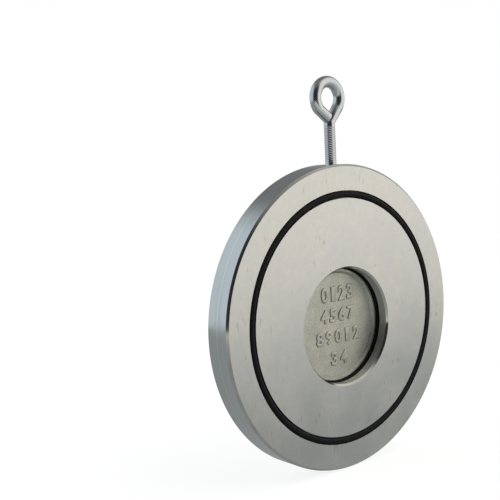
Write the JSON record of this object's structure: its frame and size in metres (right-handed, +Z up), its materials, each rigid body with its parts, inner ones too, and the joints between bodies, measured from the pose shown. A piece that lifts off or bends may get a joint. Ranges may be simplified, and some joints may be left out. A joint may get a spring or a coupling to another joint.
{
  "type": "wafer check valve",
  "caption": "Slim ring-shaped check valve clamped between pipe flanges, with one spring-closed flap hinged behind its bore and a lifting eye bolt on the rim.",
  "frame": {"origin": "centre of the body on the pipe's axis, halfway between the two flange faces", "axes": "+Z up to the eye bolt, +Y along the flow, so the upstream face looks to -Y, +X along the hinge, to the right seen from upstream"},
  "size_m": [0.142, 0.0148, 0.1823],
  "materials": {
    "zinc_steel": "turned steel, zinc plated, dull and slightly stained on the faces, fine turning lines on the rim",
    "cast_zinc": "steel casting, zinc plated, granular with a faint yellow tint",
    "bright_zinc": "bright zinc plating with a blue tint",
    "stainless": "plain stainless steel, machined",
    "spring_steel": "drawn stainless spring wire",
    "rubber": "matte black nitrile rubber",
    "bearing": "dark brown filled bearing plastic"
  },
  "bodies": {
    "body": {"valve_body": "zinc_steel", "upstream_flange_seal": "rubber", "downstream_flange_seal": "rubber", "hinge_pin": "stainless", "left_thrust_washer": "bearing", "right_thrust_washer": "bearing", "closing_spring": "spring_steel", "left_pin_keeper": "stainless", "right_pin_keeper": "stainless", "left_keeper_screw": "stainless", "right_keeper_screw": "stainless", "eye_bolt": "bright_zinc"},
    "flap": {"flap": "cast_zinc", "flap_seal": "rubber", "left_bush": "bearing", "right_bush": "bearing"}
  },
  "joints": [
    {"name": "flap_hinge", "type": "hinge", "parent": "body", "child": "flap", "pos_m": [0, 0.001, 0.0375], "axis": [1, 0, 0], "range_deg": [0, 65], "stiffness_Nm_per_rad": 0.04, "springref_deg": -34.38, "deforming": ["closing_spring"]}
  ]
}
